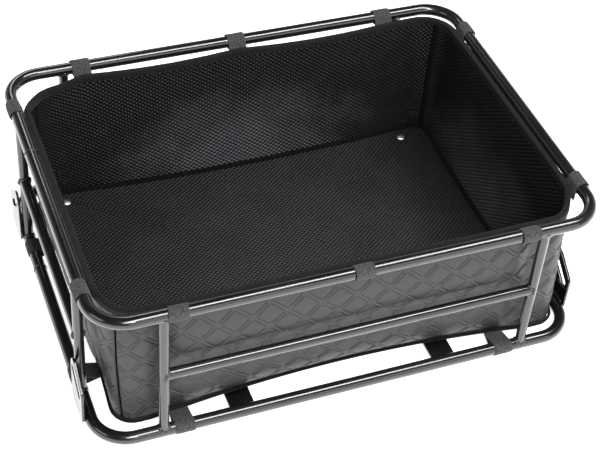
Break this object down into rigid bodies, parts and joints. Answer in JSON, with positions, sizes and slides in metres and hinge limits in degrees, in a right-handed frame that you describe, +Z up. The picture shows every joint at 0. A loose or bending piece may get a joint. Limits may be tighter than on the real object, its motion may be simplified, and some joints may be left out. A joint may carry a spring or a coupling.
{
  "type": "cargo basket",
  "caption": "Open cargo basket: a welded tube frame with slotted hanger plates that holds a removable padded liner by hook-and-loop straps.",
  "frame": {"origin": "centre of the footprint, on the surface that the basket stands on", "axes": "+X along the basket's long side, +Y from front to back, +Z up through the open top"},
  "size_m": [0.5168, 0.3808, 0.1745],
  "materials": {
    "gloss_black_paint": "gloss black powder coat on steel tube and plate",
    "embossed_leatherette": "satin dark grey leatherette, embossed with a diamond lattice",
    "spacer_mesh": "matt black spacer mesh with fine staggered cells",
    "stiffener_board": "plain black board, sewn in out of sight",
    "binding_tape": "dark grey woven tape, stitched",
    "strap_webbing": "heather dark grey hook-and-loop tape, matt"
  },
  "bodies": {
    "root": {"top_rail": "gloss_black_paint", "bottom_rail": "gloss_black_paint", "post_front_left": "gloss_black_paint", "post_front_right": "gloss_black_paint", "post_back_left": "gloss_black_paint", "post_back_right": "gloss_black_paint", "post_left_front": "gloss_black_paint", "post_left_back": "gloss_black_paint", "post_right_front": "gloss_black_paint", "post_right_back": "gloss_black_paint", "mid_rail_front": "gloss_black_paint", "mid_rail_back": "gloss_black_paint", "mid_rail_left": "gloss_black_paint", "mid_rail_right": "gloss_black_paint", "floor_bar_left": "gloss_black_paint", "floor_bar_right": "gloss_black_paint", "hanger_plate_front_left": "gloss_black_paint", "hanger_plate_front_right": "gloss_black_paint", "hanger_plate_back_left": "gloss_black_paint", "hanger_plate_back_right": "gloss_black_paint", "shell_front": "embossed_leatherette", "shell_back": "embossed_leatherette", "shell_left": "embossed_leatherette", "shell_right": "embossed_leatherette", "shell_floor": "embossed_leatherette", "lining_front": "spacer_mesh", "lining_back": "spacer_mesh", "lining_left": "spacer_mesh", "lining_right": "spacer_mesh", "lining_floor": "spacer_mesh", "floor_board": "stiffener_board", "rim_binding": "binding_tape", "foot_piping": "binding_tape", "top_strap_front_left": "strap_webbing", "top_strap_front_middle": "strap_webbing", "top_strap_front_right": "strap_webbing", "top_strap_back_left": "strap_webbing", "top_strap_back_middle": "strap_webbing", "top_strap_back_right": "strap_webbing", "top_strap_left_front": "strap_webbing", "top_strap_left_back": "strap_webbing", "top_strap_right_front": "strap_webbing", "top_strap_right_back": "strap_webbing", "low_strap_front_left": "strap_webbing", "low_strap_front_right": "strap_webbing", "low_strap_back_left": "strap_webbing", "low_strap_back_right": "strap_webbing", "low_strap_left_front": "strap_webbing", "low_strap_left_back": "strap_webbing", "low_strap_right_front": "strap_webbing", "low_strap_right_back": "strap_webbing"}
  },
  "joints": []
}
